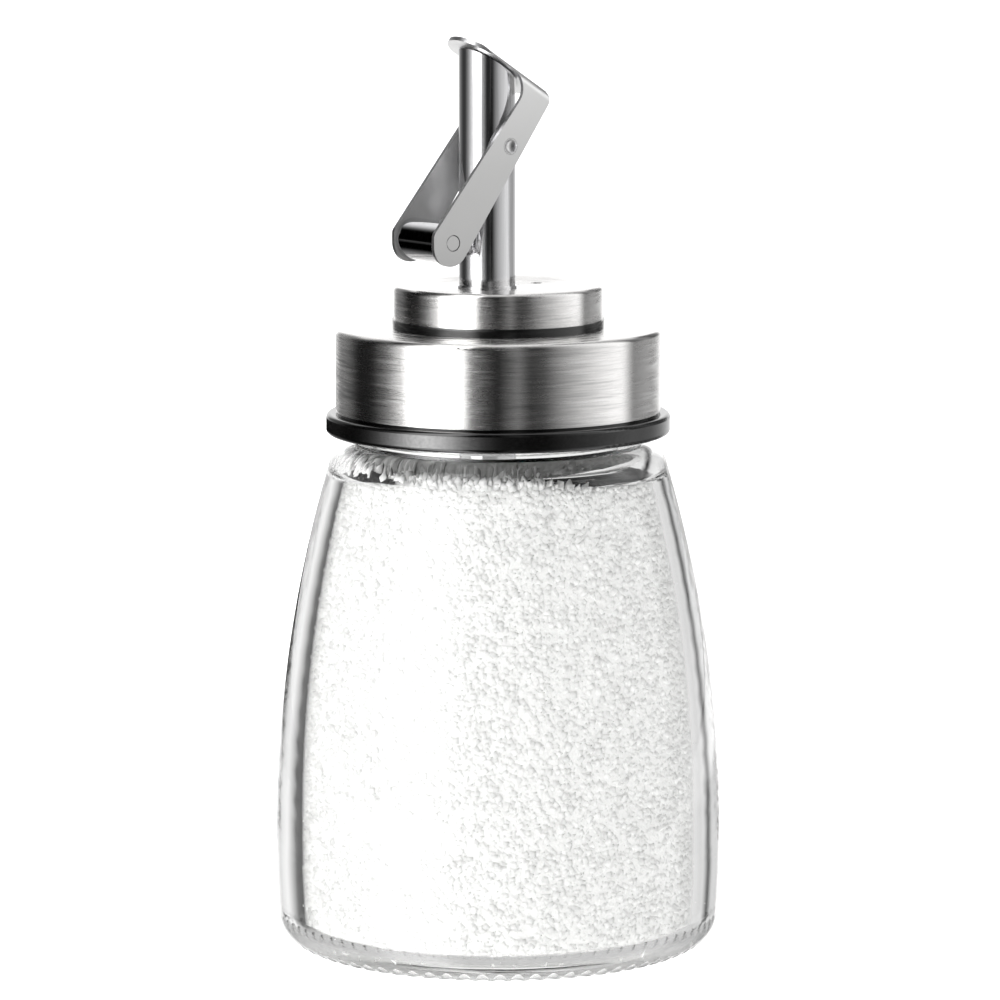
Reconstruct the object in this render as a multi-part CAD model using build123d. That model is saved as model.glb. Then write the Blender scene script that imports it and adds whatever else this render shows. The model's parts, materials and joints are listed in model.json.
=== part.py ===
from build123d import *
import os
from math import asin, cos, radians, sin, sqrt, tan

# A round glass sugar jar with a screwed two-step cap, a pour tube and a flap that gravity works.
# Millimetres. +Z is up and the origin is the centre of the jar's base. Sugar leaves over the -X side;
# the flap turns about an axis along Y.

# ---- glass jar ----
jar_radius = 39.85          # at the widest place
widest_height = 17.5
heel_arc = 150.0            # radius of the wall's short curve down to the heel
heel_fillet = 5.6
glass_wall = 4.6            # up to the widest place
glass_top_wall = 3.5        # where the wall meets the funnel
floor_height = 3.4          # inside floor above the base
floor_fillet = 3.0
push_up = 1.2               # how far the underside rises at its middle
bearing_width = 9.5         # from the heel's corner in to where the underside starts to rise
knurl_count = 76
knurl_radius = 1.6
knurl_depth = 0.55
knurl_angle = 24.0          # round the heel's fillet, from the underside up to the grooves' middle
shoulder_height = 89.6
shoulder_ledge = 3.4        # from the neck's step out to where the wall's long curve ends
shoulder_flat = 0.15        # what the shoulder's fillet leaves of the ledge, beside the neck's step
funnel_height = 5.5         # inside, from the wall up to the neck
funnel_fillet = 3.0

# ---- neck and screw thread ----
neck_rise = 16.4            # from the shoulder to the top of the lip
neck_radius = 25.0          # at the root of the thread
neck_wall = 3.5
neck_step_width = 0.6       # plain step between shoulder and thread
neck_step_height = 1.6
lip_fillet = 0.8
thread_pitch = 4.0
thread_turns = 1.5
thread_rise = 5.9           # from the shoulder to the start of the neck's ridge
ridge_depth = 1.0
ridge_root_width = 2.0
ridge_crest_width = 1.0
ridge_sink = 0.3            # how deep a ridge's foot reaches into its wall
thread_gap = 0.4            # radial, crest to root
flank_gap = 0.3             # along the axis

# ---- large cap ----
insert_wall = 1.85          # plastic, at the root of its thread
insert_roof = 2.35          # plastic, over the seal
sheet = 0.5                 # both cap shells and the tube
cap_fillet = 1.0
fit_gap = 0.05              # radial, where assembled pieces slide together
ring_lift = 0.5             # from the neck's step up to the black flange ring
ring_overhang = 1.7
ring_height = 3.6
ring_fillet = 0.7
shadow_gap = 0.4            # between the flange ring and the shell
seal_thickness = 1.5
seal_gap = 0.05

# ---- small cap and collar ----
collar_radius = 18.5
collar_rise = 7.6           # from the large cap's top to the small one's
collar_fillet = 0.8
collar_ring_overhang = 0.25
collar_ring_height = 1.5
rim_width = 3.7             # flat rim round the dish
dish_slope_width = 2.8
dish_depth = 0.5
stem_radius = 12.5
stem_end = 1.15             # how far the stem reaches below the nut
nut_wall = 2.5              # at its flats
nut_height = 3.9
vent_inset = 2.3            # from the dish's slope to the vent's middle
vent_y = 1.8
vent_radius = 1.0
tube_seal_width = 2.4
tube_seal_height = 2.0

# ---- pour tube ----
tube_x = -2.4
tube_radius = 5.0
tube_foot_gap = 7.5         # between the tube's lower end and the jar's floor
foot_slope = 40.0
mouth_rise = 38.75          # from the small cap's top to the slanted mouth, on the tube's axis
mouth_slope = 32.3
bead_width = 0.25
bead_height = 0.5

# ---- flap, in u (along X from the tube's axis) and z ----
flap_sheet = 0.75
lid_gap = 0.2
arm_gap = 0.65              # between the tube and each arm
bend_radius = 0.9           # inside of the folded edge
pivot_u = 0.45
pivot_drop = 13.9           # from the mouth
pivot_fit = 0.05            # radial running clearance in the tube's wall
trunnion_radius = 1.25
rivet_radius = 1.4
shoulder_radius = 1.9
shoulder_gap = 0.2
trunnion_reach = 0.15       # past the tube wall's inner face
dimple_radius = 1.25
dimple_depth = 0.6
weight_u = -11.9
weight_drop = 16.35         # from the pivot
weight_radius = 3.7
pin_chamfer = 0.15
tongue_reach = 1.8          # from the tube's axis up the slope to the middle of the tongue's round end
fold_start_u = 2.6
rear_corner_u = 9.95
fold_fillet = 2.0           # where the arm's front edge runs out into the lid's
throat_inset = 1.0          # how far the arm's narrow place lies behind and below the fold's start
throat_drop = 3.2
arm_end_reach = 4.1         # from the weight's axis to the arm's end and to its left edge
arm_toe = 1.4               # from the weight's axis to the lower right corner
arm_heel = 1.6              # and up to the upper left corner
arm_end_fillet = 3.6
arm_side_fillet = 1.5
rear_fillet = 2.3
throat_fillet = 3.5

# ---- worked out from the sizes above ----
neck_bore = neck_radius - neck_wall
neck_step_radius = neck_radius + neck_step_width
neck_step_top = shoulder_height + neck_step_height
neck_height = shoulder_height + neck_rise
thread_height = shoulder_height + thread_rise
heel_center = jar_radius - heel_arc + sqrt((heel_arc - heel_fillet) ** 2 - (widest_height - heel_fillet) ** 2)
wall_top_radius = neck_step_radius + shoulder_ledge
belly_width = jar_radius - wall_top_radius
belly_arc = ((shoulder_height - widest_height) ** 2 + belly_width**2) / (2 * belly_width)
shoulder_lean = asin((shoulder_height - widest_height) / belly_arc)
shoulder_fillet = (shoulder_ledge - shoulder_flat) * tan(radians(45) + shoulder_lean / 2)
funnel_z = shoulder_height - funnel_height
seat_z = neck_height + seal_thickness + seal_gap
insert_bore = neck_radius + ridge_depth + thread_gap
insert_radius = insert_bore + insert_wall
insert_top = seat_z + insert_roof
cap_radius = insert_radius + fit_gap + sheet
cap_top = insert_top + sheet
ring_radius = cap_radius + ring_overhang
ring_bottom = neck_step_top + ring_lift
ring_top = ring_bottom + ring_height
cap_bottom = ring_top + shadow_gap
stem_hole = stem_radius + fit_gap
stem_bottom = seat_z - nut_height - stem_end
collar_top = cap_top + collar_rise
collar_ring_radius = collar_radius + collar_ring_overhang
collar_bottom = cap_top + collar_ring_height
dish_z = collar_top - dish_depth
dish_outer_radius = collar_radius - rim_width
dish_inner_radius = dish_outer_radius - dish_slope_width
vent_x = dish_inner_radius - vent_inset
mouth_height = collar_top + mouth_rise
pivot_z = mouth_height - pivot_drop
weight_z = pivot_z - weight_drop
tube_hole = tube_radius + fit_gap
tube_foot = floor_height + tube_foot_gap
arm_inner = tube_radius + arm_gap
arm_outer = arm_inner + flap_sheet
slope = radians(mouth_slope)


def wall_radius(z):
    """Outer radius of the jar's wall at a height."""
    curve = belly_arc if z > widest_height else heel_arc
    return jar_radius - curve + sqrt(curve**2 - (z - widest_height) ** 2)


def cavity_radius(z):
    """Inner radius of the jar's wall at a height. The wall thins evenly from its widest place to the funnel."""
    rise = max(z - widest_height, 0) / (funnel_z - widest_height)
    return wall_radius(z) - glass_wall - (glass_top_wall - glass_wall) * rise


def wall_arc(radius_at, z_from, z_to):
    """The stretch of a wall's curve between two heights."""
    heights = (z_from, (z_from + z_to) / 2, z_to)
    return ThreePointArc(*[(radius_at(z), z) for z in heights])


def round_corner(sketch, x, y, radius):
    """Fillet the corner of a flat outline that is nearest to a point."""
    corner = sketch.vertices().sort_by_distance((x, y, 0))[0]
    return fillet(corner, radius)


def outline(*points):
    """A closed flat outline with straight sides."""
    return make_face(Polyline(*points, close=True))


def spin(sketch):
    """Turn a flat outline, given as radius and height, about the jar's axis."""
    return revolve(Plane.XZ * sketch, axis=Axis.Z)


def post(radius, z_from, z_to, x=0.0, y=0.0):
    """An upright cylinder between two heights."""
    return Pos(x, y, z_from) * Cylinder(radius, z_to - z_from, align=(Align.CENTER, Align.CENTER, Align.MIN))


def cross_bar(radius, y_from, y_to, u, z):
    """A cylinder along Y, placed from the tube's axis."""
    bar = Cylinder(radius, y_to - y_from, align=(Align.CENTER, Align.CENTER, Align.MIN))
    return Pos(tube_x + u, y_from, z) * Rot(X=-90) * bar


def thread_ridge(radius, start_z, outward):
    """One helical ridge that stands on a cylinder, outside it or inside it."""
    side = 1 if outward else -1
    helix = Pos(0, 0, start_z) * Helix(thread_pitch, thread_pitch * thread_turns, radius)
    crest = ridge_crest_width / 2
    flank = (ridge_root_width - ridge_crest_width) / 2
    foot = crest + flank * (1 + ridge_sink / ridge_depth)
    section = outline(
        (-side * ridge_sink, -foot),
        (side * ridge_depth, -crest),
        (side * ridge_depth, crest),
        (-side * ridge_sink, foot),
    )
    start = Plane(origin=helix @ 0, x_dir=(1, 0, 0), z_dir=helix % 0)
    return sweep(start * section, path=helix, is_frenet=True)


def glass_jar():
    heel_radius = wall_radius(0)
    floor_radius = cavity_radius(floor_height)
    edges = [
        Line((0, push_up), (heel_radius - bearing_width, 0)),
        Line((heel_radius - bearing_width, 0), (heel_radius, 0)),
        wall_arc(wall_radius, 0, widest_height),
        wall_arc(wall_radius, widest_height, shoulder_height),
        Polyline(
            (wall_radius(shoulder_height), shoulder_height),
            (neck_step_radius, shoulder_height),
            (neck_step_radius, neck_step_top),
            (neck_radius, neck_step_top + neck_step_radius - neck_radius),
            (neck_radius, neck_height),
            (neck_bore, neck_height),
            (neck_bore, shoulder_height),
            (cavity_radius(funnel_z), funnel_z),
        ),
        wall_arc(cavity_radius, funnel_z, widest_height),
        wall_arc(cavity_radius, widest_height, floor_height),
        Polyline((floor_radius, floor_height), (0, floor_height), (0, push_up)),
    ]
    section = make_face(edges)
    section = round_corner(section, heel_radius, 0, heel_fillet)
    section = round_corner(section, wall_radius(shoulder_height), shoulder_height, shoulder_fillet)
    section = round_corner(section, floor_radius, floor_height, floor_fillet)
    section = round_corner(section, cavity_radius(funnel_z), funnel_z, funnel_fillet)
    section = round_corner(section, neck_bore, shoulder_height, funnel_fillet)
    section = round_corner(section, neck_radius, neck_height, lip_fillet)
    section = round_corner(section, neck_bore, neck_height, lip_fillet)
    jar = spin(section) + thread_ridge(neck_radius, thread_height, outward=True)
    groove = Pos(heel_fillet - knurl_depth + knurl_radius) * Cylinder(knurl_radius, 2 * heel_fillet)
    groove = Pos(heel_center, 0, heel_fillet) * Rot(Y=90 - knurl_angle) * groove
    return jar - [Rot(Z=360 * (i + 0.5) / knurl_count) * groove for i in range(knurl_count)]


def jar_seal():
    outer = insert_bore - thread_gap / 2
    return post(outer, neck_height, neck_height + seal_thickness) - post(neck_bore, 0, cap_top)


def cap_insert():
    section = outline(
        (insert_bore, ring_bottom),
        (ring_radius, ring_bottom),
        (ring_radius, ring_top),
        (insert_radius, ring_top),
        (insert_radius, insert_top),
        (stem_hole, insert_top),
        (stem_hole, seat_z),
        (insert_bore, seat_z),
    )
    section = round_corner(section, ring_radius, ring_bottom, ring_fillet)
    section = round_corner(section, ring_radius, ring_top, ring_fillet)
    section = round_corner(section, insert_radius, insert_top, cap_fillet - sheet)
    ridge_width = ridge_root_width + (ridge_crest_width - ridge_root_width) * (1 + thread_gap / ridge_depth) / 2
    ridge_z = thread_height - ridge_width - flank_gap
    return spin(section) + thread_ridge(insert_bore, ridge_z, outward=False)


def cap_shell():
    shell = post(cap_radius, cap_bottom, cap_top)
    shell = fillet(shell.edges().group_by(Axis.Z)[-1], cap_fillet)
    hollow = post(cap_radius - sheet, cap_bottom, insert_top)
    hollow = fillet(hollow.edges().group_by(Axis.Z)[-1], cap_fillet - sheet)
    return shell - hollow - post(stem_hole, cap_bottom, cap_top)


def collar_insert():
    body = post(collar_ring_radius, cap_top, collar_bottom)
    body += post(collar_radius - sheet - fit_gap, collar_bottom, dish_z - sheet)
    body += post(stem_radius, stem_bottom, cap_top)
    body -= post(tube_hole, stem_bottom, collar_top, tube_x)
    body -= post(tube_radius + tube_seal_width + fit_gap, dish_z - sheet - tube_seal_height, collar_top, tube_x)
    return body - post(vent_radius, stem_bottom, collar_top, vent_x, vent_y)


def collar_shell():
    top = outline(
        (0, dish_z),
        (dish_inner_radius, dish_z),
        (dish_outer_radius, collar_top),
        (collar_radius, collar_top),
        (collar_radius, collar_bottom),
        (collar_radius - sheet, collar_bottom),
        (collar_radius - sheet, collar_top - sheet),
        (dish_outer_radius, collar_top - sheet),
        (dish_inner_radius, dish_z - sheet),
        (0, dish_z - sheet),
    )
    top = round_corner(top, collar_radius, collar_top, collar_fillet)
    top = round_corner(top, collar_radius - sheet, collar_top - sheet, collar_fillet - sheet)
    shell = spin(top)
    shell -= post(tube_hole, collar_bottom, collar_top, tube_x)
    return shell - post(vent_radius, collar_bottom, collar_top, vent_x, vent_y)


def lock_nut():
    bottom = seat_z - nut_height
    hexagon = RegularPolygon(stem_radius + nut_wall, 6, major_radius=False)
    nut = Pos(0, 0, bottom) * extrude(hexagon, nut_height)
    return nut - post(stem_hole, bottom, seat_z)


def tube_seal():
    top = dish_z - sheet
    bottom = top - tube_seal_height
    ring = post(tube_radius + tube_seal_width, bottom, top, tube_x)
    return ring - post(tube_hole, bottom, top, tube_x)


def slanted_block(height, angle, above):
    """A large block whose lower or upper face is a plane that falls towards +X, at a height on the tube's axis."""
    side = 20 * tube_radius
    edge = Align.MIN if above else Align.MAX
    block = Box(side, side, side, align=(Align.CENTER, Align.CENTER, edge))
    return Pos(tube_x, 0, height) * Rot(Y=angle) * block


def pour_tube():
    highest = mouth_height + 2 * tube_radius * tan(slope)
    tube = post(tube_radius, tube_foot, highest, tube_x)
    tube += post(tube_radius + bead_width, dish_z, dish_z + bead_height, tube_x)
    tube -= post(tube_radius - sheet, 0, highest, tube_x)
    tube -= slanted_block(mouth_height, mouth_slope, above=True)
    tube -= slanted_block(tube_foot + tube_radius * tan(radians(foot_slope)), foot_slope, above=False)
    bore = trunnion_radius + pivot_fit
    return tube - cross_bar(bore, -2 * tube_radius, 2 * tube_radius, pivot_u, pivot_z)


def lid_z(u, lift=0.0):
    """Height of the lid plate's underside, or of a plane parallel to it, at a distance from the tube's axis."""
    return mouth_height + (lid_gap + lift) / cos(slope) - u * tan(slope)


def flap():
    front_u = fold_start_u - fold_fillet
    front_top = (front_u, lid_z(front_u, flap_sheet))
    front_bottom = (front_u, lid_z(front_u))
    fold_start = (fold_start_u, lid_z(fold_start_u))
    rear = (rear_corner_u, lid_z(rear_corner_u, flap_sheet))
    toe = (weight_u + arm_toe, weight_z - arm_end_reach)
    low_left = (weight_u - arm_end_reach, weight_z - arm_end_reach)
    high_left = (weight_u - arm_end_reach, weight_z + arm_heel)
    throat = (fold_start[0] + throat_inset, fold_start[1] - throat_drop)
    side = outline(front_top, rear, toe, low_left, high_left, throat, fold_start, front_bottom)
    side = round_corner(side, *fold_start, fold_fillet)
    side = round_corner(side, *rear, rear_fillet)
    side = round_corner(side, *toe, arm_end_fillet)
    side = round_corner(side, *low_left, arm_end_fillet)
    side = round_corner(side, *high_left, arm_side_fillet)
    side = round_corner(side, *throat, throat_fillet)
    arms = Pos(tube_x, 0, 0) * extrude(Plane.XZ * side, arm_outer, both=True)

    # The lid plate lies in its own plane: x runs down the slope from the tube's axis, z out of the plate.
    lid_plane = Plane(
        origin=(tube_x, 0, lid_z(0)),
        x_dir=(cos(slope), 0, -sin(slope)),
        z_dir=(sin(slope), 0, cos(slope)),
    )
    straight = tongue_reach + fold_start_u / cos(slope) + flap_sheet + bend_radius
    tongue = Circle(arm_outer) + Rectangle(straight, 2 * arm_outer, align=(Align.MIN, Align.CENTER))
    plate = Pos(-tongue_reach, 0) * extrude(tongue, flap_sheet)

    reach = pivot_z
    channel = Pos(0, 0, -reach) * Box(
        reach, 2 * arm_outer, reach + flap_sheet, align=(Align.CENTER, Align.CENTER, Align.MIN)
    )
    channel = fillet(channel.edges().filter_by(Axis.X).group_by(Axis.Z)[-1], bend_radius + flap_sheet)
    hollow = Pos(0, 0, -reach) * Box(
        reach, 2 * arm_inner, reach, align=(Align.CENTER, Align.CENTER, Align.MIN)
    )
    hollow = fillet(hollow.edges().filter_by(Axis.X).group_by(Axis.Z)[-1], bend_radius)
    folded = lid_plane * (channel - hollow) & arms
    sheet_piece = folded + (lid_plane * (plate & channel - hollow))
    sheet_piece -= cross_bar(rivet_radius + fit_gap, -2 * arm_outer, 2 * arm_outer, pivot_u, pivot_z)
    return sheet_piece - cross_bar(rivet_radius + fit_gap, -2 * arm_outer, 2 * arm_outer, weight_u, weight_z)


def pivot_rivet(side):
    """A shouldered rivet in one arm, whose inner end turns in the tube's wall; side is 1 or -1 along Y."""
    inner = tube_radius - sheet - trunnion_reach
    shoulder = tube_radius + shoulder_gap
    rivet = cross_bar(rivet_radius, arm_inner, arm_outer, pivot_u, pivot_z)
    rivet += cross_bar(shoulder_radius, shoulder, arm_inner, pivot_u, pivot_z)
    rivet += cross_bar(trunnion_radius, inner, shoulder, pivot_u, pivot_z)
    ball = (dimple_radius**2 + dimple_depth**2) / (2 * dimple_depth)
    rivet -= Pos(tube_x + pivot_u, arm_outer - dimple_depth + ball, pivot_z) * Sphere(ball)
    return rivet if side > 0 else mirror(rivet, Plane.XZ)


def counterweight():
    length = 2 * (arm_inner - fit_gap)
    weight = cross_bar(weight_radius, -length / 2, length / 2, weight_u, weight_z)
    return weight - cross_bar(rivet_radius + fit_gap, -length, length, weight_u, weight_z)


def counterweight_pin():
    pin = cross_bar(rivet_radius, -arm_outer, arm_outer, weight_u, weight_z)
    return chamfer(pin.edges().filter_by(GeomType.CIRCLE), pin_chamfer)


parts = {
    "glass_jar": glass_jar(),
    "jar_seal": jar_seal(),
    "cap_insert": cap_insert(),
    "cap_shell": cap_shell(),
    "collar_insert": collar_insert(),
    "collar_shell": collar_shell(),
    "lock_nut": lock_nut(),
    "tube_seal": tube_seal(),
    "pour_tube": pour_tube(),
    "flap": flap(),
    "pivot_rivet_far": pivot_rivet(1),
    "pivot_rivet_near": pivot_rivet(-1),
    "counterweight": counterweight(),
    "counterweight_pin": counterweight_pin(),
}

os.makedirs("parts", exist_ok=True)
for name, part in parts.items():
    export_step(part, f"parts/{name}.step")
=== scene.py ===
import json
import math

import bpy
import numpy as np
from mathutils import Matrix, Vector


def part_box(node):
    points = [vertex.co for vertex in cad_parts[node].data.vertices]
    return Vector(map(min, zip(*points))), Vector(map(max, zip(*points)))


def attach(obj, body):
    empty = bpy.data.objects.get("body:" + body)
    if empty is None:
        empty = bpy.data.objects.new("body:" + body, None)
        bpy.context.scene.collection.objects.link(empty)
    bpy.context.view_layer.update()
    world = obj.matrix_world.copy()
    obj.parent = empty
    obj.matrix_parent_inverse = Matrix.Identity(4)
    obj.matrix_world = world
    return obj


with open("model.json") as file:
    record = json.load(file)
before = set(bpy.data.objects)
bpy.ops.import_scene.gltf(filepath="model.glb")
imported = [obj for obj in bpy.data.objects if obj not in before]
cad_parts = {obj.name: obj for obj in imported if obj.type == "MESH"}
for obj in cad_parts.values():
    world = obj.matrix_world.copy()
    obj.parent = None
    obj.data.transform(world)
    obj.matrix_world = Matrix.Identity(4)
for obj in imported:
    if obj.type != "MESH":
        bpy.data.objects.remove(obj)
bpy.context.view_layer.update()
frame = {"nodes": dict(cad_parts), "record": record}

MM = 0.001
nodes = frame["nodes"]

# ---- camera: metres from the jar's axis, and where it looks ----
FRONT_AZIMUTH = math.radians(-36)
CAMERA_DISTANCE = 0.950
CAMERA_HEIGHT = 0.214
CAMERA_PITCH = math.radians(8.06)
CAMERA_LENS = 194.3
SENSOR = 36.0
AXIS_SHIFT = 0.0018         # share of the picture that the jar's axis lies left of the middle

to_camera = Vector((math.sin(FRONT_AZIMUTH), -math.cos(FRONT_AZIMUTH), 0))


def make_camera():
    data = bpy.data.cameras.new("camera")
    data.lens = CAMERA_LENS
    data.sensor_width = SENSOR
    data.shift_x = AXIS_SHIFT
    data.clip_start = 0.01
    camera = bpy.data.objects.new("camera", data)
    camera.location = to_camera * CAMERA_DISTANCE + Vector((0, 0, CAMERA_HEIGHT))
    camera.rotation_euler = (math.pi / 2 - CAMERA_PITCH, 0, FRONT_AZIMUTH)
    bpy.context.scene.collection.objects.link(camera)
    bpy.context.scene.camera = camera


# ---- studio: a white sweep with soft panels and dark gaps round the front ----
# A panel is its two edges, in degrees from the camera's side, positive towards the picture's right, and its
# brightness at each. From one panel to the next the light changes evenly. These are what the steel, the
# plastic and the outside of the glass mirror.
PANELS = [
    (-180, -165, 1.4, 1.4),     # the sweep behind, to its left end
    (-155, -140, 0.3, 0.25),
    (-120, -100, 0.0, 0.0),     # black card
    (-85, -72, 0.1, 0.6),       # spill of the softbox
    (-58, -35, 3.5, 3.5),       # large softbox
    (-20, 0, 0.02, 0.0),        # black card in front
    (6, 14, 0.1, 0.25),         # narrow grey card
    (23, 33, 0.05, 0.05),
    (42, 100, 0.2, 1.5),        # graded sheet
    (111, 114, 0.15, 0.15),
    (128, 133, 0.3, 0.3),
    (142, 157, 0.1, 0.2),
    (165, 180, 1.4, 1.4),       # the sweep behind, from its right end
]
# A narrow strip near eye level, which only the polished tube shows clearly.
LEVEL_PANELS = [
    (-180, -165, 1.0, 1.0),
    (-145, -130, 0.3, 0.15),
    (-115, -100, 0.05, 0.05),
    (-85, -62, 0.25, 0.95),
    (-46, -30, 3.0, 3.0),
    (-22, -5, 0.5, 0.05),
    (0, 20, 0.02, 0.01),
    (45, 90, 0.5, 0.9),
    (108, 130, 0.45, 0.4),
    (165, 180, 1.0, 1.0),
]
# Another narrow strip, just below the first, which lights the black ring: a lamp and a graded sheet.
LAMP_MIDDLE = -49
LAMP_SPREAD = 24            # degrees from its middle to where 1/e of its light is left
LAMP_STEPS = range(-72, 73, 8)
LAMP_BRIGHTNESS = 11.0
LOW_SHEET = [(35, 105, 0.0, 0.75), (125, 150, 0.7, 1.2)]
# The light that reaches what isn't shiny, above all the sugar.
SOFT_PANELS = [
    (-180, -150, 0.90, 1.45), (-110, -38, 2.0, 2.0), (-12, 10, 0.79, 0.575), (50, 120, 0.52, 0.53),
    (170, 180, 0.84, 0.90),
]
# What is seen through the glass: the same studio with its contrast lowered.
GLASS_PANELS = [
    (-180, -155, 1.0, 1.15),
    (-140, -135, 0.1, 0.1),
    (-120, -70, 0.55, 0.55),
    (-64, -22, 1.6, 1.6),
    (-17, 40, 0.35, 0.4),
    (48, 145, 0.75, 0.85),
    (152, 154, 0.0, 0.0),
    (160, 180, 0.8, 1.05),
]
BRIGHTEST = LAMP_BRIGHTNESS     # what a ramp's 1.0 stands for
OVERHEAD = 0.90             # brightness above the panels
CEILING = 1.05              # and where the sweep comes over from behind
FLOOR_LIGHT = 0.60          # what the glass shows of the floor
# Heights in the studio are sines of the angle above eye level.
PANEL_TOP = 0.90
PANEL_FADE = 0.07
CEILING_FROM = 0.45
FLOOR_FADE = (-0.45, -0.25)
LEVEL = (-0.110, -0.104, -0.052, -0.035)    # where the level strip fades in and out
LOW = (-0.165, -0.150, -0.118, -0.110)      # and where the low strip does
BEHIND = (-0.75, -0.45)     # where the sweep comes over, as cosines to the camera's side


class Graph:
    """Short names for building a node tree."""

    def __init__(self, tree):
        self.tree = tree
        tree.nodes.clear()

    def node(self, kind, **settings):
        made = self.tree.nodes.new(kind)
        for name, value in settings.items():
            setattr(made, name, value)
        return made

    def join(self, source, target):
        self.tree.links.new(source, target)

    def math(self, operation, a, b=None):
        made = self.node("ShaderNodeMath", operation=operation)
        for socket, value in zip(made.inputs, (a, b)):
            if value is None:
                continue
            if isinstance(value, (int, float)):
                socket.default_value = value
            else:
                self.join(value, socket)
        return made.outputs[0]

    def between(self, value, low, high, to_low=0.0, to_high=1.0, smooth=True):
        made = self.node("ShaderNodeMapRange", interpolation_type="SMOOTHSTEP" if smooth else "LINEAR")
        self.join(value, made.inputs["Value"])
        for name, number in zip(("From Min", "From Max", "To Min", "To Max"), (low, high, to_low, to_high)):
            made.inputs[name].default_value = number
        return made.outputs[0]

    def blend(self, share, first, second):
        made = self.node("ShaderNodeMix", data_type="RGBA")
        for name, value in (("Factor", share), ("A", first), ("B", second)):
            sockets = [s for s in made.inputs if s.enabled and s.type in ("RGBA", "VALUE")]
            socket = next(s for s in sockets if s.name == name)
            if isinstance(value, tuple):
                socket.default_value = value
            else:
                self.join(value, socket)
        return next(s for s in made.outputs if s.type == "RGBA" and s.enabled)

    def ramp(self, value, stops):
        made = self.node("ShaderNodeValToRGB")
        elements = made.color_ramp.elements
        while len(elements) < len(stops):
            elements.new(0.5)
        for element, (place, colour) in zip(elements, stops):
            element.position = place
            level = colour if isinstance(colour, tuple) else (colour,) * 3
            element.color = (*level, 1)
        self.join(value, made.inputs[0])
        return made.outputs[0]


def edges(panels):
    """The panels' edges as stops round the jar."""
    return [stop for start, end, first, last in panels for stop in ((start, first), (end, last))]


def low_strip():
    lamp = [(LAMP_MIDDLE + d, LAMP_BRIGHTNESS * math.exp(-(d / LAMP_SPREAD) ** 2)) for d in LAMP_STEPS]
    return lamp + edges(LOW_SHEET)


def make_world():
    world = bpy.data.worlds.new("studio")
    bpy.context.scene.world = world
    world.use_nodes = True
    g = Graph(world.node_tree)
    direction = g.node("ShaderNodeTexCoord").outputs["Generated"]
    turn = g.node("ShaderNodeVectorRotate", rotation_type="Z_AXIS")
    turn.inputs["Angle"].default_value = -math.atan2(to_camera.y, to_camera.x)
    g.join(direction, turn.inputs["Vector"])
    split = g.node("ShaderNodeSeparateXYZ")
    g.join(turn.outputs[0], split.inputs[0])
    angle = g.math("ARCTAN2", split.outputs["Y"], split.outputs["X"])
    share = g.between(angle, -math.pi, math.pi, smooth=False)
    path = g.node("ShaderNodeLightPath")
    shows, level, low, soft, through = [
        g.ramp(share, [((a + 180) / 360, bright / BRIGHTEST) for a, bright in stops])
        for stops in (
            edges(PANELS), edges(LEVEL_PANELS), low_strip(), edges(SOFT_PANELS), edges(GLASS_PANELS),
        )
    ]
    height = split.outputs["Z"]
    for strip, (start, full, end, gone) in ((level, LEVEL), (low, LOW)):
        rising, falling = g.between(height, start, full), g.between(height, end, gone, 1.0, 0.0)
        shows = g.blend(g.math("MULTIPLY", rising, falling), shows, strip)
    below = g.between(height, *FLOOR_FADE, 1.0, 0.0)
    through = g.blend(below, through, (FLOOR_LIGHT / BRIGHTEST,) * 3 + (1,))
    shows = g.blend(path.outputs["Is Transmission Ray"], shows, through)
    shows = g.blend(path.outputs["Is Diffuse Ray"], shows, soft)
    bright = g.node("ShaderNodeVectorMath", operation="SCALE")
    g.join(shows, bright.inputs[0])
    bright.inputs["Scale"].default_value = BRIGHTEST
    top = g.between(height, PANEL_TOP, PANEL_TOP + PANEL_FADE)
    around = g.blend(top, bright.outputs[0], (OVERHEAD, OVERHEAD, OVERHEAD, 1))
    behind = g.between(split.outputs["X"], *BEHIND, 1.0, 0.0)
    over = g.between(height, CEILING_FROM, CEILING_FROM + 2 * PANEL_FADE)
    covered = g.blend(g.math("MULTIPLY", behind, over), around, (CEILING, CEILING, CEILING, 1))
    lit = g.node("ShaderNodeBackground")
    g.join(covered, lit.inputs["Color"])
    seen = g.node("ShaderNodeBackground")
    seen.inputs["Color"].default_value = (1, 1, 1, 1)
    pick = g.node("ShaderNodeMixShader")
    g.join(path.outputs["Is Camera Ray"], pick.inputs[0])
    g.join(lit.outputs[0], pick.inputs[1])
    g.join(seen.outputs[0], pick.inputs[2])
    g.join(pick.outputs[0], g.node("ShaderNodeOutputWorld").inputs["Surface"])


def new_material(name):
    material = bpy.data.materials.new(name)
    material.use_nodes = True
    g = Graph(material.node_tree)
    surface = g.node("ShaderNodeBsdfPrincipled")
    g.join(surface.outputs[0], g.node("ShaderNodeOutputMaterial").inputs["Surface"])
    return material, g, surface


def plain(surface, **values):
    for name, value in values.items():
        surface.inputs[name.replace("_", " ")].default_value = value


def noise(g, vector, scale, detail=2.0, roughness=0.5):
    made = g.node("ShaderNodeTexNoise")
    made.inputs["Scale"].default_value = scale
    made.inputs["Detail"].default_value = detail
    made.inputs["Roughness"].default_value = roughness
    g.join(vector, made.inputs["Vector"])
    return made.outputs["Fac"]


def bump(g, surface, height, distance, strength=1.0):
    made = g.node("ShaderNodeBump")
    made.inputs["Strength"].default_value = strength
    made.inputs["Distance"].default_value = distance
    g.join(height, made.inputs["Height"])
    g.join(made.outputs[0], surface.inputs["Normal"])


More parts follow.
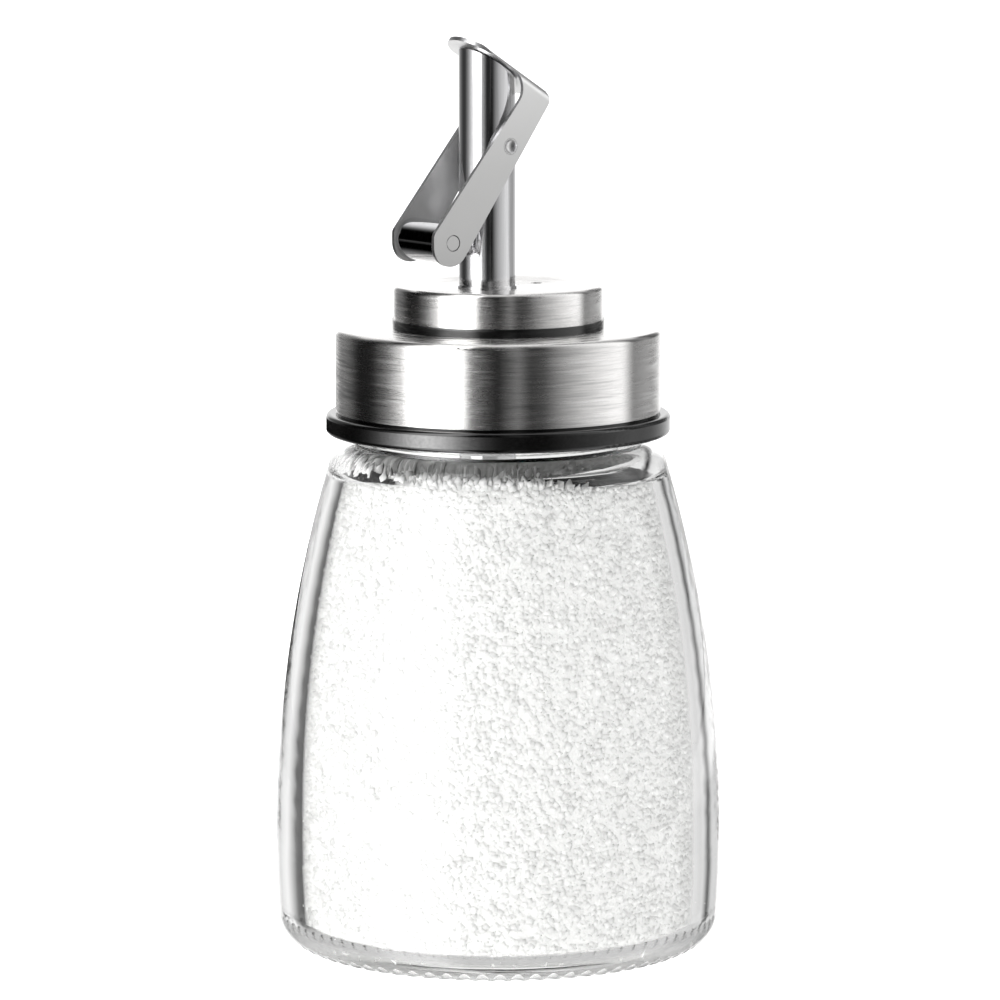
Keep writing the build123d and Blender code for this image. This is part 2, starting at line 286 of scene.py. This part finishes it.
def lathe_lines(g, along, across):
    """A vector that changes slowly round the jar's axis and fast along the radius and the height."""
    place = g.node("ShaderNodeTexCoord").outputs["Object"]
    split = g.node("ShaderNodeSeparateXYZ")
    g.join(place, split.inputs[0])
    x, y, z = split.outputs
    radius = g.math("SQRT", g.math("ADD", g.math("MULTIPLY", x, x), g.math("MULTIPLY", y, y)))
    joined = g.node("ShaderNodeCombineXYZ")
    g.join(g.math("MULTIPLY", g.math("DIVIDE", x, radius), along), joined.inputs["X"])
    g.join(g.math("MULTIPLY", g.math("DIVIDE", y, radius), along), joined.inputs["Y"])
    g.join(g.math("MULTIPLY", g.math("ADD", radius, z), across), joined.inputs["Z"])
    return joined.outputs[0]


def brushed_steel():
    material, g, surface = new_material("brushed_steel")
    plain(surface, Metallic=1.0, IOR=2.5, Anisotropic=1.0, Anisotropic_Rotation=0.25)
    tangent = g.node("ShaderNodeTangent", direction_type="RADIAL", axis="Z")
    g.join(tangent.outputs[0], surface.inputs["Tangent"])
    fine = noise(g, lathe_lines(g, 3.0, 2300.0), 1.0, detail=2.0, roughness=0.6)
    broad = noise(g, lathe_lines(g, 1.5, 700.0), 1.0, detail=2.0)
    mixed = g.math("ADD", g.math("MULTIPLY", fine, 0.7), g.math("MULTIPLY", broad, 0.3))
    g.join(g.between(mixed, 0.35, 0.68, 0.12, 0.34, smooth=False), surface.inputs["Roughness"])
    tones = [(0.34, (0.70, 0.695, 0.69)), (0.50, (0.80, 0.79, 0.78)), (0.66, (0.92, 0.91, 0.90))]
    tone = g.ramp(mixed, tones)
    g.join(tone, surface.inputs["Base Color"])
    bump(g, surface, fine, 0.05 * MM, 0.25)
    return material


def polished_steel():
    material, g, surface = new_material("polished_steel")
    plain(surface, Metallic=1.0, IOR=2.5)
    place = g.node("ShaderNodeTexCoord").outputs["Object"]
    drawn = g.node("ShaderNodeMapping")
    drawn.inputs["Scale"].default_value = (1, 1, 0.04)
    g.join(place, drawn.inputs["Vector"])
    streaks = noise(g, drawn.outputs[0], 2600.0, detail=2.0)
    g.join(g.between(streaks, 0.3, 0.7, 0.05, 0.11, smooth=False), surface.inputs["Roughness"])
    tone = g.ramp(streaks, [(0.3, (0.74, 0.74, 0.75)), (0.7, (0.82, 0.82, 0.83))])
    g.join(tone, surface.inputs["Base Color"])
    return material


# The flap's arms face along Y and its lid along its own normal. What faces along neither is a cut edge:
# there the squares of a face's cosines to both add up to less than this.
CUT_FACE = (0.88, 0.96)
INSIDE_FADE = (-1 * MM, -3 * MM)    # place times normal along Y: below zero, a face looks at the tube
INSIDE_DULLNESS = 0.18      # what the inside adds to the roughness
PAINTED_LIGHT_SPREAD = 1.5 * MM      # how unevenly the painted light, darker below and lighter above, changes with height


def satin_steel():
    """The flap's sheet: its outside brushed and painted with light that grows towards its top, its inside
    dull, its narrow faces as the punch cut them.
    """
    material, g, surface = new_material("satin_steel")
    plain(surface, Metallic=1.0, IOR=2.5)
    where = g.node("ShaderNodeTexCoord")
    place = where.outputs["Object"]
    lid = max(nodes["flap"].data.polygons, key=lambda face: face.area * face.normal.z).normal
    broad = []
    for axis in ((0, 1, 0), tuple(lid)):
        facing = g.node("ShaderNodeVectorMath", operation="DOT_PRODUCT")
        g.join(where.outputs["Normal"], facing.inputs[0])
        facing.inputs[1].default_value = axis
        broad.append(g.math("MULTIPLY", facing.outputs["Value"], facing.outputs["Value"]))
    edge = g.between(g.math("ADD", *broad), *CUT_FACE, 1.0, 0.0)
    cloud = noise(g, place, 160.0, detail=3.0)
    tears = noise(g, place, 2400.0, detail=2.0)
    spot, normal = [g.node("ShaderNodeSeparateXYZ") for _ in range(2)]
    g.join(place, spot.inputs[0])
    g.join(where.outputs["Normal"], normal.inputs[0])
    outward = g.math("MULTIPLY", spot.outputs["Y"], normal.outputs["Y"])
    inside = g.between(outward, *INSIDE_FADE, 0.0, 1.0, smooth=False)
    low, high = [p.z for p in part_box("flap")]
    uneven = g.math("ADD", spot.outputs["Z"], g.math("MULTIPLY", cloud, PAINTED_LIGHT_SPREAD))
    painted_light_share = g.between(uneven, low, high, smooth=False)
    # Painted light: the outside's colour rises from dark grey at the bottom to near white at the top,
    # standing in for the light on the arms that grows towards the lid's bend.
    outer_painted_light = g.ramp(painted_light_share, [
        (0.0, (0.60, 0.60, 0.595)), (0.45, (0.69, 0.69, 0.685)),
        (0.75, (0.83, 0.83, 0.825)), (0.92, (0.98, 0.98, 0.975)),
    ])
    inner = g.ramp(cloud, [(0.3, (0.52, 0.52, 0.52)), (0.7, (0.60, 0.60, 0.60))])
    cut = g.ramp(tears, [(0.3, (0.50, 0.50, 0.505)), (0.7, (0.82, 0.82, 0.83))])
    g.join(g.blend(edge, g.blend(inside, outer_painted_light, inner), cut), surface.inputs["Base Color"])
    roughness = g.between(cloud, 0.3, 0.7, 0.32, 0.40, smooth=False)
    dulled = g.math("ADD", roughness, g.math("MULTIPLY", inside, INSIDE_DULLNESS))
    g.join(dulled, surface.inputs["Roughness"])
    bump(g, surface, noise(g, place, 5200.0, detail=1.0), 0.01 * MM, 0.25)
    return material


def black_plastic():
    material, g, surface = new_material("black_plastic")
    plain(surface, IOR=1.68)
    place = g.node("ShaderNodeTexCoord").outputs["Object"]
    grain = noise(g, place, 1800.0, detail=3.0)
    g.join(g.ramp(grain, [(0.3, 0.001), (0.7, 0.003)]), surface.inputs["Base Color"])
    g.join(g.between(grain, 0.3, 0.7, 0.09, 0.14, smooth=False), surface.inputs["Roughness"])
    bump(g, surface, grain, 0.01 * MM, 0.05)
    return material


def seal_rubber():
    material, g, surface = new_material("seal_rubber")
    place = g.node("ShaderNodeTexCoord").outputs["Object"]
    grain = noise(g, place, 900.0, detail=3.0)
    g.join(g.ramp(grain, [(0.3, 0.55), (0.7, 0.68)]), surface.inputs["Base Color"])
    plain(surface, Roughness=0.6, Subsurface_Weight=0.1, Subsurface_Scale=0.002)
    bump(g, surface, grain, 0.03 * MM, 0.3)
    return material


BEARING_FROST = (0.5 * MM, 1.1 * MM)    # heights between which the glass turns from scuffed to clear


def jar_glass():
    """Clear glass that lets light straight through to what is inside."""
    material, g, surface = new_material("jar_glass")
    plain(surface, Base_Color=(0.990, 0.991, 0.986, 1), IOR=1.50, Transmission_Weight=1.0)
    place = g.node("ShaderNodeTexCoord").outputs["Object"]
    split = g.node("ShaderNodeSeparateXYZ")
    g.join(place, split.inputs[0])
    g.join(g.between(split.outputs["Z"], *BEARING_FROST, 0.45, 0.0), surface.inputs["Roughness"])
    path = g.node("ShaderNodeLightPath")
    passing = g.math("MAXIMUM", path.outputs["Is Shadow Ray"], path.outputs["Is Diffuse Ray"])
    clear = g.node("ShaderNodeBsdfTransparent")
    clear.inputs["Color"].default_value = (0.945, 0.946, 0.941, 1)
    pick = g.node("ShaderNodeMixShader")
    g.join(passing, pick.inputs[0])
    g.join(surface.outputs[0], pick.inputs[1])
    g.join(clear.outputs[0], pick.inputs[2])
    output = next(n for n in g.tree.nodes if n.bl_idname == "ShaderNodeOutputMaterial")
    g.join(pick.outputs[0], output.inputs["Surface"])
    return material


def sugar_bed():
    material, g, surface = new_material("sugar_bed")
    place = g.node("ShaderNodeTexCoord").outputs["Object"]
    tone = noise(g, place, 900.0, detail=2.0)
    g.join(g.ramp(tone, [(0.3, 0.90), (0.7, 0.95)]), surface.inputs["Base Color"])
    plain(surface, Roughness=0.6)
    bump(g, surface, tone, 0.4 * MM, 0.6)
    return material


def sugar_grains():
    """Each grain has its own tone and gloss."""
    material, g, surface = new_material("sugar_grains")
    place = g.node("ShaderNodeTexCoord").outputs["Object"]
    own = g.node("ShaderNodeNewGeometry").outputs["Random Per Island"]
    drift = noise(g, place, 130.0, detail=2.0)
    tone = g.math("ADD", g.math("MULTIPLY", own, 0.7), g.math("MULTIPLY", drift, 0.3))
    g.join(g.ramp(tone, [(0.1, 0.79), (0.8, 0.96)]), surface.inputs["Base Color"])
    g.join(g.between(own, 0.0, 1.0, 0.20, 0.55, smooth=False), surface.inputs["Roughness"])
    plain(surface, IOR=1.55)
    return material


def floor_paint():
    material, g, surface = new_material("floor_paint")
    place = g.node("ShaderNodeTexCoord").outputs["Object"]
    tone = noise(g, place, 30.0, detail=2.0)
    g.join(g.ramp(tone, [(0.3, 0.90), (0.7, 0.92)]), surface.inputs["Base Color"])
    plain(surface, Roughness=0.9, Emission_Color=(1, 1, 1, 1), Emission_Strength=0.7)
    return material


def new_piece(name, verts, faces, material):
    mesh = bpy.data.meshes.new(name)
    mesh.from_pydata(verts, [], faces)
    mesh.materials.append(material)
    mesh.update()
    mesh.shade_smooth()
    piece = bpy.data.objects.new(name, mesh)
    bpy.context.scene.collection.objects.link(piece)
    return piece


FLOOR_HALF = 4.0            # metres


def make_floor():
    h = FLOOR_HALF
    corners = [(-h, -h, 0), (h, -h, 0), (h, h, 0), (-h, h, 0)]
    floor = new_piece("floor", corners, [(0, 1, 2, 3)], floor_paint())
    floor.visible_glossy = False
    floor.visible_transmission = False


# ---- sugar: a closed bed with a well for the tube, and loose crystals on its side and top ----
SUGAR_TOP = 83.7 * MM
SUGAR_TILT = (-0.045, 0.04)     # how its surface rises towards the picture's right and towards the front
SWELL = 0.4 * MM            # height of the waves on its surface
HEAP_HEIGHT = 6.2 * MM      # how much higher it lies in the middle, under the neck
HEAP_RADIUS = 31.5 * MM
PACKED_RADIUS = 24.0 * MM   # inside this the bed reaches nearly up to the surface
PACKED_FADE = 3.0 * MM
PACKED_DEPTH = 0.2          # share of the bed's depth below the surface that is left there
PACKED_SINK = 0.65          # how far the crystals' middles lie below the surface there, in crystals
LOOSE_SINK = 0.4            # and further out
SUGAR_GAP = 0.15 * MM       # between the sugar and the glass
CRYSTAL = 1.15 * MM
CRYSTAL_DEPTH = 0.80 * MM   # from the sugar's side to a crystal's middle, and from its top to the bed
BED_DEPTH = 0.50 * MM       # from its side to the bed
WELL_RADIUS = 8.2 * MM      # room for the pour tube to turn in
BED_OVER = 1.0 * MM         # how far above SUGAR_TOP the bed's side is followed
GRAINS_OVER = 1.5 * MM      # and the crystals on it
BED_SPOKES = 160            # points round each ring of the bed
BED_LEVELS = 60             # rings up its side
BED_TOP_RINGS = 20
SIDE_STEP = 0.80 * CRYSTAL  # from one crystal to the next on the side
TOP_STEP = 0.85 * CRYSTAL   # and on the top
JITTER = 0.35               # how far a crystal strays from its place, in steps
STRAY_DEPTH = 0.25 * MM     # and how far it may lie deeper in the bed
SIZE_SPREAD = (0.7, 1.15)   # of whole crystals
SIDE_SPREAD = (0.75, 1.0)   # and of the three sides of one
SKEW = 0.35                 # how far a crystal leans, as a share of its height
SIDE_BANDS = 3              # meshes that share the side's crystals
SEED = 7


def inner_radius(height):
    """Radius of the jar's inside at a height, read from the glass."""
    hit, place, _, _ = nodes["glass_jar"].ray_cast(Vector((0, 0, height)), Vector((0, 1, 0)))
    return math.hypot(place.x, place.y) if hit else 0.0


def floor_level():
    """Height of the jar's floor on its axis."""
    _, place, _, _ = nodes["glass_jar"].ray_cast(Vector((0, 0, SUGAR_TOP)), Vector((0, 0, -1)))
    return place.z


def sugar_profile():
    """Heights and radii of the sugar's side, just inside the glass."""
    low = floor_level() + 2 * SUGAR_GAP
    heights = np.linspace(low, SUGAR_TOP + BED_OVER, BED_LEVELS)
    return heights, np.array([inner_radius(z) for z in heights]) - SUGAR_GAP


def sugar_surface(x, y):
    """Height of the sugar's top, gently uneven."""
    front = to_camera.x * x + to_camera.y * y
    right = -to_camera.y * x + to_camera.x * y
    waves = math.sin(x / 0.009 + 1.0) * math.cos(y / 0.011) + 0.5 * math.sin(y / 0.006)
    heap = HEAP_HEIGHT * max(1 - math.hypot(x, y) / HEAP_RADIUS, 0)
    return SUGAR_TOP + SUGAR_TILT[0] * right + SUGAR_TILT[1] * front + SWELL * waves + heap


def make_sugar_body(material):
    """The bed: rings of points from the well's foot, up the side and over the top, back to the well."""
    heights, radii = sugar_profile()
    verts, faces, rings = [], [], []

    def ring(radius, level):
        start = len(verts)
        for i in range(BED_SPOKES):
            a = 2 * math.pi * i / BED_SPOKES
            x, y = radius * math.cos(a), radius * math.sin(a)
            verts.append((x, y, level(x, y)))
        rings.append(start)

    def top(x, y):
        loose = min(max((math.hypot(x, y) - PACKED_RADIUS) / PACKED_FADE, 0), 1)
        return sugar_surface(x, y) - CRYSTAL_DEPTH * (PACKED_DEPTH + (1 - PACKED_DEPTH) * loose)

    ring(WELL_RADIUS, lambda x, y: heights[0])
    for z, r in zip(heights, radii):
        ring(r - BED_DEPTH, lambda x, y, z=z: min(z, sugar_surface(x, y) - CRYSTAL_DEPTH))
    rim = radii[-1] - BED_DEPTH
    for share in np.linspace(0.95, 0.0, BED_TOP_RINGS):
        ring(WELL_RADIUS + (rim - WELL_RADIUS) * share, top)
    rings.append(rings[0])
    for a, b in zip(rings, rings[1:]):
        for i in range(BED_SPOKES):
            j = (i + 1) % BED_SPOKES
            faces.append((a + i, a + j, b + j, b + i))
    piece = new_piece("sugar", verts, faces, material)
    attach(piece, "jar")


CUBE = np.array([(x, y, z) for x in (-1, 1) for y in (-1, 1) for z in (-1, 1)], float)
CUBE_FACES = np.array([(0, 1, 3, 2), (4, 6, 7, 5), (0, 4, 5, 1), (2, 3, 7, 6), (0, 2, 6, 4), (1, 5, 7, 3)])


def random_turns(count, rng):
    """Rotation matrices spread evenly over all turns."""
    q = rng.normal(size=(count, 4))
    q /= np.linalg.norm(q, axis=1)[:, None]
    w, x, y, z = q.T
    rows = [
        [1 - 2 * (y * y + z * z), 2 * (x * y - z * w), 2 * (x * z + y * w)],
        [2 * (x * y + z * w), 1 - 2 * (x * x + z * z), 2 * (y * z - x * w)],
        [2 * (x * z - y * w), 2 * (y * z + x * w), 1 - 2 * (x * x + y * y)],
    ]
    return np.array(rows).transpose(2, 0, 1)


def make_crystals(name, places, material, rng):
    """Blocky grains, one for each place, as one mesh."""
    count = len(places)
    sides = CRYSTAL / 2 * rng.uniform(*SIDE_SPREAD, (count, 3)) * rng.uniform(*SIZE_SPREAD, (count, 1))
    corners = CUBE[None] * sides[:, None, :]
    corners[:, :, 0] += corners[:, :, 2] * rng.uniform(-SKEW, SKEW, (count, 1))
    corners = np.einsum("nij,nkj->nki", random_turns(count, rng), corners) + places[:, None, :]
    faces = (CUBE_FACES[None] + 8 * np.arange(count)[:, None, None]).reshape(-1, 4)
    piece = new_piece(name, corners.reshape(-1, 3).tolist(), faces.tolist(), material)
    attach(piece, "jar")


def side_places(low, high, rng):
    """Where the grains lie against the glass between two heights."""
    heights, radii = sugar_profile()
    places = []
    for z in np.arange(low, high, SIDE_STEP):
        radius = np.interp(z, heights, radii) - CRYSTAL_DEPTH
        count = int(2 * math.pi * radius / SIDE_STEP)
        share = np.arange(count) + rng.uniform(0, 1) + rng.uniform(-JITTER, JITTER, count)
        angle = share * 2 * math.pi / count
        level = z + rng.uniform(-JITTER, JITTER, count) * SIDE_STEP
        r = np.interp(level, heights, radii) - CRYSTAL_DEPTH - rng.uniform(0, STRAY_DEPTH, count)
        ring = np.stack([r * np.cos(angle), r * np.sin(angle), level], axis=1)
        top = np.array([sugar_surface(x, y) for x, y, _ in ring]) - 0.5 * CRYSTAL
        places.append(ring[ring[:, 2] < top])
    return np.concatenate(places)


def top_places(rng):
    """Where the grains lie on the sugar's surface."""
    heights, radii = sugar_profile()
    span = np.arange(-radii[-1], radii[-1], TOP_STEP)
    grid = np.meshgrid(span, span)
    x, y = [a.ravel() + rng.uniform(-JITTER, JITTER, a.size) * TOP_STEP for a in grid]
    far = np.hypot(x, y)
    keep = (far < radii[-1] - CRYSTAL_DEPTH) & (far > WELL_RADIUS + CRYSTAL)
    x, y = x[keep], y[keep]
    sunk = np.where(np.hypot(x, y) < PACKED_RADIUS, PACKED_SINK, LOOSE_SINK) * CRYSTAL
    level = np.array([sugar_surface(a, b) for a, b in zip(x, y)]) - sunk
    return np.stack([x, y, level], axis=1)


def make_sugar():
    rng = np.random.default_rng(SEED)
    heights, _ = sugar_profile()
    make_sugar_body(sugar_bed())
    grains = sugar_grains()
    bands = np.linspace(heights[0] + CRYSTAL_DEPTH, SUGAR_TOP + GRAINS_OVER, SIDE_BANDS + 1)
    for i, (low, high) in enumerate(zip(bands, bands[1:])):
        make_crystals(f"sugar_grains_{i}", side_places(low, high, rng), grains, rng)
    make_crystals("sugar_grains_top", top_places(rng), grains, rng)


SLOTS = {
    "jar_glass": jar_glass,
    "black_plastic": black_plastic,
    "brushed_steel": brushed_steel,
    "polished_steel": polished_steel,
    "satin_steel": satin_steel,
    "seal_rubber": seal_rubber,
}


def dress_nodes():
    """Give each CAD node the finish of its material slot."""
    made = {slot: make() for slot, make in SLOTS.items()}
    for entry in frame["record"]["subparts"]:
        node = nodes[entry["node"]]
        node.data.materials.clear()
        node.data.materials.append(made[entry["material_slot"]])


make_camera()
make_world()
make_floor()
dress_nodes()
make_sugar()

scene = bpy.context.scene
scene.view_settings.view_transform = "Standard"
scene.cycles.max_bounces = 28
scene.cycles.glossy_bounces = 24
scene.cycles.transmission_bounces = 16
scene.cycles.transparent_max_bounces = 16
